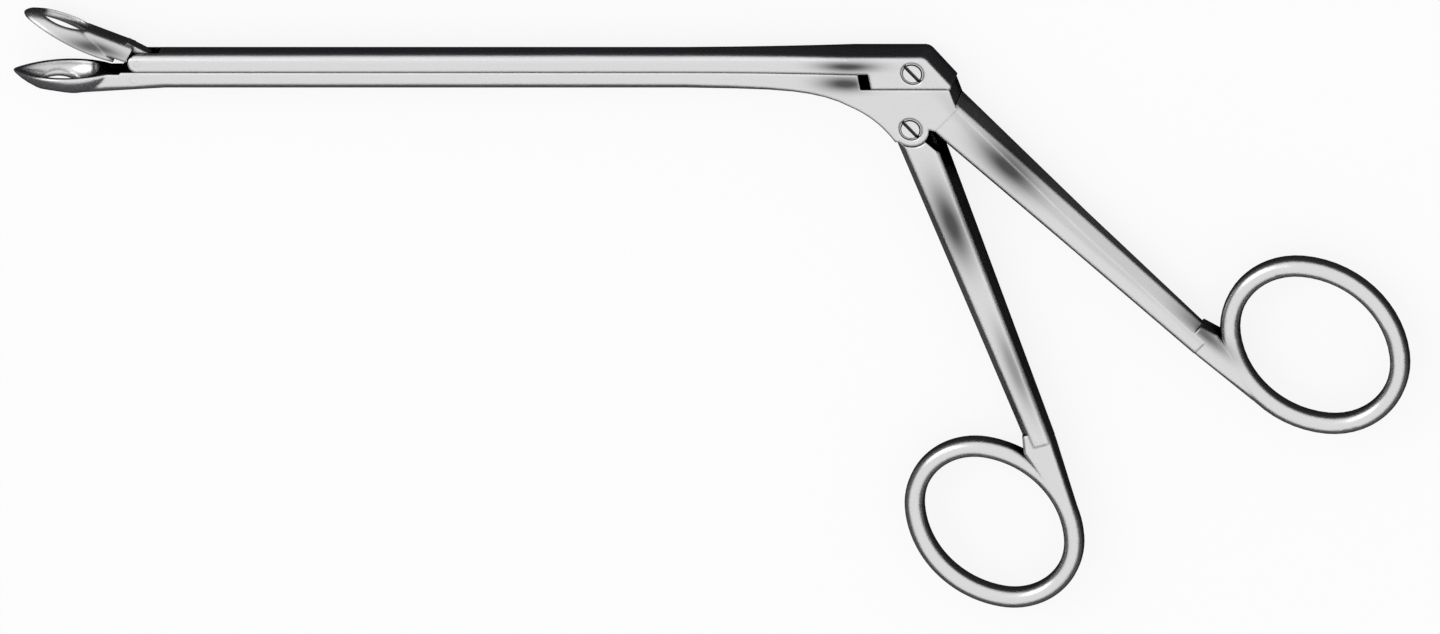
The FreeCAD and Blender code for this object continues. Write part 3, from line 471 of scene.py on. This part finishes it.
@dataclass
class SlottedScrews:
    """The slotted screws, made by one tree of geometry nodes with named sizes."""

    head_radius: float = 1.6 * MM
    head_height: float = 0.9 * MM
    rim_bevel: float = 0.32 * MM
    slot_width: float = 0.5 * MM
    slot_depth: float = 0.5 * MM
    slot_turn_deg: float = -50.0
    # how far the shank reaches up into the head
    shank_sink: float = 0.3 * MM
    facets: int = 96
    tree: bpy.types.NodeTree | None = field(default=None, init=False)

    def build_tree(self) -> bpy.types.NodeTree:
        """Builds the tree of a screw whose axis is Z and whose head's face is at height 0."""
        tree = bpy.data.node_groups.new("slotted_screw", "GeometryNodeTree")
        sockets = tree.interface
        for name in ("Head Radius", "Head Height", "Rim Bevel", "Shank Radius", "Length",
                     "Slot Width", "Slot Depth", "Slot Turn"):
            sockets.new_socket(name, in_out="INPUT", socket_type="NodeSocketFloat")
        sockets.new_socket("Place", in_out="INPUT", socket_type="NodeSocketVector")
        sockets.new_socket("Finish", in_out="INPUT", socket_type="NodeSocketMaterial")
        sockets.new_socket("Mesh", in_out="OUTPUT", socket_type="NodeSocketGeometry")
        given = add_node(tree, "NodeGroupInput").outputs

        straight = add_node(tree, "ShaderNodeMath",
                            {0: given["Head Height"], 1: given["Rim Bevel"]}, operation="SUBTRACT")
        middle = add_node(tree, "ShaderNodeMath", {
            0: straight.outputs[0], 1: -0.5, 2: given["Rim Bevel"],
        }, operation="MULTIPLY_ADD")
        # the straight part hangs below the rim's bevel
        lowered = add_node(tree, "ShaderNodeMath", {
            0: given["Rim Bevel"], 1: -1.5, 2: middle.outputs[0],
        }, operation="MULTIPLY_ADD")
        head = add_node(tree, "GeometryNodeMeshCylinder", {
            "Vertices": self.facets, "Radius": given["Head Radius"], "Depth": straight.outputs[0],
        })
        head_place = add_node(tree, "ShaderNodeCombineXYZ", {2: lowered.outputs[0]})
        head_set = add_node(tree, "GeometryNodeTransform", {
            "Geometry": head.outputs["Mesh"], "Translation": head_place.outputs[0],
        })
        top_radius = add_node(tree, "ShaderNodeMath",
                              {0: given["Head Radius"], 1: given["Rim Bevel"]},
                              operation="SUBTRACT")
        crown = add_node(tree, "GeometryNodeMeshCone", {
            "Vertices": self.facets, "Radius Top": top_radius.outputs[0],
            "Radius Bottom": given["Head Radius"], "Depth": given["Rim Bevel"],
        })
        crown_low = add_node(tree, "ShaderNodeMath", {0: given["Rim Bevel"], 1: -1.0},
                             operation="MULTIPLY")
        crown_place = add_node(tree, "ShaderNodeCombineXYZ", {2: crown_low.outputs[0]})
        crown_set = add_node(tree, "GeometryNodeTransform", {
            "Geometry": crown.outputs["Mesh"], "Translation": crown_place.outputs[0],
        })
        shank = add_node(tree, "GeometryNodeMeshCylinder", {
            "Vertices": self.facets, "Radius": given["Shank Radius"], "Depth": given["Length"],
        })
        half_length = add_node(tree, "ShaderNodeMath", {0: given["Length"], 1: -0.5},
                               operation="MULTIPLY")
        # the shank ends inside the head, so the two join in one closed skin
        sunk = add_node(tree, "ShaderNodeMath", {0: half_length.outputs[0], 1: self.shank_sink},
                        operation="SUBTRACT")
        shank_place = add_node(tree, "ShaderNodeCombineXYZ", {2: sunk.outputs[0]})
        shank_set = add_node(tree, "GeometryNodeTransform", {
            "Geometry": shank.outputs["Mesh"], "Translation": shank_place.outputs[0],
        })
        solid = add_node(tree, "GeometryNodeMeshBoolean", {"Mesh 2": head_set.outputs[0]},
                         operation="UNION", solver="EXACT")
        tree.links.new(crown_set.outputs[0], solid.inputs["Mesh 2"])
        tree.links.new(shank_set.outputs[0], solid.inputs["Mesh 2"])

        slot_length = add_node(tree, "ShaderNodeMath", {0: given["Head Radius"], 1: 3.0},
                               operation="MULTIPLY")
        slot_height = add_node(tree, "ShaderNodeMath", {0: given["Slot Depth"], 1: 2.0},
                               operation="MULTIPLY")
        slot_size = add_node(tree, "ShaderNodeCombineXYZ", {
            0: slot_length.outputs[0], 1: given["Slot Width"], 2: slot_height.outputs[0],
        })
        block = add_node(tree, "GeometryNodeMeshCube", {"Size": slot_size.outputs[0]})
        turn = add_node(tree, "ShaderNodeCombineXYZ", {2: given["Slot Turn"]})
        turned = add_node(tree, "GeometryNodeTransform", {
            "Geometry": block.outputs["Mesh"], "Rotation": turn.outputs[0],
        })
        cut = add_node(tree, "GeometryNodeMeshBoolean", {
            "Mesh 1": solid.outputs["Mesh"], "Mesh 2": turned.outputs[0],
        }, operation="DIFFERENCE", solver="EXACT")
        placed = add_node(tree, "GeometryNodeTransform", {
            "Geometry": cut.outputs["Mesh"], "Translation": given["Place"],
        })
        real = add_node(tree, "GeometryNodeRealizeInstances", {0: placed.outputs[0]})
        finished = add_node(tree, "GeometryNodeSetMaterial", {
            "Geometry": real.outputs[0], "Material": given["Finish"],
        })
        add_node(tree, "NodeGroupOutput", {0: finished.outputs[0]})
        return tree

    def build(self, name: str, node: str, body: Body, place: Vector, shank_radius: float,
              length: float, finish: TurnedSteel) -> bpy.types.Object:
        """Builds one screw as a plain mesh in the row frame.

        Args:
            name: The piece's name.
            node: The CAD node that it stands for.
            body: The body that it rides on.
            place: The middle of its head's face, in metres.
            shank_radius: The radius of its shank, in metres.
            length: From the head's face to the shank's end, in metres.
            finish: Its finish.

        Returns:
            The screw.
        """
        self.tree = self.tree or self.build_tree()
        holder = bpy.data.objects.new(name + "_maker", bpy.data.meshes.new(name + "_maker"))
        bpy.context.scene.collection.objects.link(holder)
        material = finish.material()
        maker = holder.modifiers.new("screw", "NODES")
        maker.node_group = self.tree
        wanted = {
            "Head Radius": self.head_radius, "Head Height": self.head_height,
            "Rim Bevel": self.rim_bevel, "Shank Radius": shank_radius,
            "Length": length - self.shank_sink, "Slot Width": self.slot_width,
            "Slot Depth": self.slot_depth, "Slot Turn": math.radians(self.slot_turn_deg),
            "Place": place, "Finish": material,
        }
        for socket in self.tree.interface.items_tree:
            if socket.in_out == "INPUT":
                maker[socket.identifier] = wanted[socket.name]
        bpy.context.view_layer.update()
        depsgraph = bpy.context.evaluated_depsgraph_get()
        mesh = bpy.data.meshes.new_from_object(holder.evaluated_get(depsgraph))
        mesh.name = name
        holder.modifiers.remove(maker)
        bpy.data.objects.remove(holder)
        screw = bpy.data.objects.new(name, mesh)
        bpy.context.scene.collection.objects.link(screw)
        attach(screw, body.value)
        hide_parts(node)
        LOG.info("%s built with %d faces", name, len(mesh.polygons))
        return screw


@dataclass
class CrossPins:
    """The two cross pins of the jaw's link, riveted and ground flush with the cheeks."""

    nodes: tuple[str, ...] = ("jaw_pivot_pin", "jaw_drive_pin")

    def middle_mm(self, node: str) -> tuple[float, float]:
        """Where the axis of a pin stands, in the row frame.

        Args:
            node: The pin's CAD node.

        Returns:
            Its X and Y in millimetres.
        """
        low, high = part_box(node)
        middle = (low + high) / 2 / MM
        return middle.x, middle.y

    def dress(self) -> None:
        """Gives each pin the finish of the belt that ground it flush."""
        for node in self.nodes:
            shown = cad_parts[node]
            shown.data.materials.clear()
            finish = ForgedSteel(f"flush_ground_steel_of_{node}",
                                 (GrindZone(Across.STRAIGHT, (0.0, 0.0)),),
                                 flush_pins_mm=(self.middle_mm(node),))
            shown.data.materials.append(finish.material())
            LOG.info("%s dressed", node)


@dataclass
class Studio:
    """The table, the lamp, the dark tray and the camera."""

    table_hex: str = "#F2F2F2"
    table_reach: float = 4.0
    table_glow: float = 0.86
    tray_hex: str = "#5A5A5C"
    tray_radius: float = 0.6
    tray_sides: int = 64
    # the tray stands this far above the table, so that the two don't flicker
    tray_gap: float = 0.02 * MM
    rim_front_height: float = 0.50
    rim_back_height: float = 0.06
    rim_back_deg: float = 57.0
    lamp_direction: tuple[float, float, float] = (-0.7, 0.5, 0.75)
    lamp_distance: float = 0.9
    lamp_size: float = 0.5
    lamp_watts: float = 1.2
    world_level: float = 0.85
    picture_width: float = 0.2016
    picture_centre_mm: tuple[float, float, float] = (-26.604, -22.750, 18.923)
    to_camera: tuple[float, float, float] = (0.20, 0.40, 0.8944)
    camera_distance: float = 0.8

    def seen_share(self, tree: bpy.types.NodeTree) -> bpy.types.NodeSocket:
        """1 for what the camera sees, also in metal or through glass, and 0 for other light."""
        path = add_node(tree, "ShaderNodeLightPath").outputs
        metal = add_node(tree, "ShaderNodeMath",
                         {0: path["Is Camera Ray"], 1: path["Is Glossy Ray"]}, operation="MAXIMUM")
        seen = add_node(tree, "ShaderNodeMath",
                        {0: metal.outputs[0], 1: path["Is Transmission Ray"]},
                        operation="MAXIMUM")
        return seen.outputs[0]

    def build_world(self) -> None:
        """An even white surrounding that also lights the object softly."""
        world = bpy.data.worlds.new("studio")
        world.use_nodes = True
        tree = world.node_tree
        tree.nodes.clear()
        seen = self.seen_share(tree)
        level = add_node(tree, "ShaderNodeMapRange", {
            "Value": seen, "To Min": self.world_level, "To Max": 1.0,
        })
        light = add_node(tree, "ShaderNodeBackground", {"Strength": level.outputs[0]})
        light.inputs["Color"].default_value = (1.0, 1.0, 1.0, 1.0)
        add_node(tree, "ShaderNodeOutputWorld", {"Surface": light.outputs[0]})
        bpy.context.scene.world = world

    def build_table(self) -> None:
        """A pale table under the lowest point of the object, which keeps its soft shadow."""
        height = CAD_BOX[0].z
        mesh = bpy.data.meshes.new("table")
        reach = self.table_reach
        corners = [(-reach, -reach, height), (reach, -reach, height),
                   (reach, reach, height), (-reach, reach, height)]
        mesh.from_pydata(corners, [], [(0, 1, 2, 3)])
        table = bpy.data.objects.new("table", mesh)
        bpy.context.scene.collection.objects.link(table)
        material = bpy.data.materials.new("matt_white_laminate")
        material.use_nodes = True
        tree = material.node_tree
        tree.nodes.clear()
        matt = add_node(tree, "ShaderNodeBsdfDiffuse", {"Color": linear(self.table_hex)})
        glow = add_node(tree, "ShaderNodeEmission", {"Color": (1.0, 1.0, 1.0, 1.0)})
        share = add_node(tree, "ShaderNodeMath", {0: self.seen_share(tree), 1: self.table_glow},
                         operation="MULTIPLY")
        both = add_node(tree, "ShaderNodeMixShader",
                        {0: share.outputs[0], 1: matt.outputs[0], 2: glow.outputs[0]})
        add_node(tree, "ShaderNodeOutputMaterial", {"Surface": both.outputs[0]})
        mesh.materials.append(material)

    def build_tray(self) -> None:
        """A dark tray around and under the object, which only reflections in its metal see.

        Its rim is high in front and low at the back, so that bevels which face back shine
        and those which face the front are dark.
        """
        sides = self.tray_sides
        low, high = CAD_BOX
        middle = (low + high) / 2
        floor = low.z + self.tray_gap
        even = (self.rim_front_height + self.rim_back_height) / 2
        lean = (self.rim_front_height - self.rim_back_height) / 2
        corners, faces = [], []
        for i in range(sides):
            turn = 2 * math.pi * i / sides
            rim = even - lean * math.cos(turn - math.radians(self.rim_back_deg))
            for level in (floor, rim):
                corners.append((middle.x + self.tray_radius * math.cos(turn),
                                middle.y + self.tray_radius * math.sin(turn), level))
            j = (i + 1) % sides
            faces.append((2 * j, 2 * i, 2 * i + 1, 2 * j + 1))
        faces.append(tuple(range(0, 2 * sides, 2)))
        mesh = bpy.data.meshes.new("dark_tray")
        mesh.from_pydata(corners, [], faces)
        tray = bpy.data.objects.new("dark_tray", mesh)
        bpy.context.scene.collection.objects.link(tray)
        material = bpy.data.materials.new("grey_felt_card")
        material.use_nodes = True
        tree = material.node_tree
        tree.nodes.clear()
        matt = add_node(tree, "ShaderNodeBsdfDiffuse", {"Color": linear(self.tray_hex)})
        add_node(tree, "ShaderNodeOutputMaterial", {"Surface": matt.outputs[0]})
        mesh.materials.append(material)
        tray.visible_camera = False
        tray.visible_diffuse = False
        tray.visible_shadow = False
        tray.visible_transmission = False

    def build_lamp(self) -> None:
        """A square soft lamp that points at the middle of the object."""
        low, high = CAD_BOX
        lamp = bpy.data.lights.new("soft_lamp", "AREA")
        lamp.shape = "SQUARE"
        lamp.size = self.lamp_size
        lamp.energy = self.lamp_watts
        holder = bpy.data.objects.new("soft_lamp", lamp)
        bpy.context.scene.collection.objects.link(holder)
        toward = Vector(self.lamp_direction).normalized()
        holder.location = (low + high) / 2 + toward * self.lamp_distance
        holder.rotation_euler = toward.to_track_quat("Z", "Y").to_euler()

    def build_camera(self) -> None:
        """A camera that looks down on the object at the picture's angle, without perspective."""
        view = bpy.data.cameras.new("camera")
        view.type = "ORTHO"
        view.ortho_scale = self.picture_width
        view.clip_start, view.clip_end = 0.01, 10.0
        camera = bpy.data.objects.new("camera", view)
        bpy.context.scene.collection.objects.link(camera)
        back = Vector(self.to_camera).normalized()
        up = back.cross(Vector((1, 0, 0))).normalized()
        right = up.cross(back)
        turn = Matrix((right, up, back)).transposed().to_4x4()
        camera.matrix_world = Matrix.Translation(
            Vector(self.picture_centre_mm) * MM + back * self.camera_distance) @ turn
        bpy.context.scene.camera = camera

    def build(self) -> None:
        """Builds all of the studio."""
        self.build_world()
        self.build_table()
        self.build_tray()
        self.build_lamp()
        self.build_camera()
        LOG.info("studio built")


def main() -> None:
    """Builds and dresses every piece in order."""
    logging.basicConfig(level=logging.INFO, format="%(message)s")
    bpy.context.scene.view_settings.view_transform = "Standard"
    Studio().build()

    pins = CrossPins()
    pins_mm = tuple(pins.middle_mm(node) for node in pins.nodes)
    shaft = GrindZone(Across.STRAIGHT, (0.0, 0.0))
    Forging("fixed_shaft", ForgedSteel("satin_ground_steel_of_fixed_shaft", (
        shaft,
        GrindZone(Across.STRAIGHT, (0.0, 0.0), -46.2, 8.0),
        GrindZone(Across.ROUND, (54.4, -34.2), reach_mm=15.0),
    ), (
        PaintedReflectionPatch((23.9, -14.5), 36.0, 3.4, -46.2, 0.85, "#C9C9CA", 0.10),
        PaintedReflectionPatch((13.4, -5.9), 14.0, 5.0, -46.2, 0.9),
        PaintedReflectionPatch((-8.7, 7.0), 10.0, 3.0, 0.0, 0.9),
        PaintedReflectionPatch((39.0, -31.5), 13.0, 2.6, -46.2, 0.8),
    ), pins_mm)).dress()
    Forging("slide_bar", ForgedSteel("satin_ground_steel_of_slide_bar", (shaft,), (
        PaintedReflectionPatch((-8.2, 9.6), 11.0, 2.0, 0.0, 0.9),
    ), pins_mm)).dress()
    Forging("front_handle", ForgedSteel("satin_ground_steel_of_front_handle", (
        GrindZone(Across.STRAIGHT, (0.0, 0.0), -73.9),
        GrindZone(Across.ROUND, (6.4, -61.4), reach_mm=14.5),
    ), (
        PaintedReflectionPatch((4.6, -14.6), 16.0, 4.6, -73.9, 0.9),
        PaintedReflectionPatch((11.6, -37.0), 16.0, 2.6, -73.9, 0.55),
    ))).dress()
    Forging("upper_jaw", ForgedSteel("satin_ground_steel_of_upper_jaw", (
        GrindZone(Across.STRAIGHT, (-110.55, 7.26), 150.0),
    ), (
        PaintedReflectionPatch((-115.5, 12.4), 11.0, 2.2, -21.0, 0.85),
    ))).dress()
    pins.dress()

    screws = SlottedScrews()
    low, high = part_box("pivot_screw")
    screws.build("pivot_screw_head_and_shank", "pivot_screw", Body.FRAME,
                 Vector((0.0, 0.0, high.z)), 1.1 * MM, high.z - low.z,
                 TurnedSteel("turned_steel_of_pivot_screw", (0.0, 0.0)))
    low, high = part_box("drive_screw")
    middle = (low + high) / 2
    screws.build("drive_screw_head_and_shank", "drive_screw", Body.SLIDE,
                 Vector((middle.x, middle.y, high.z)), 0.95 * MM, high.z - low.z,
                 TurnedSteel("turned_steel_of_drive_screw", (middle.x / MM, middle.y / MM)))


if __name__ == "__main__":
    main()
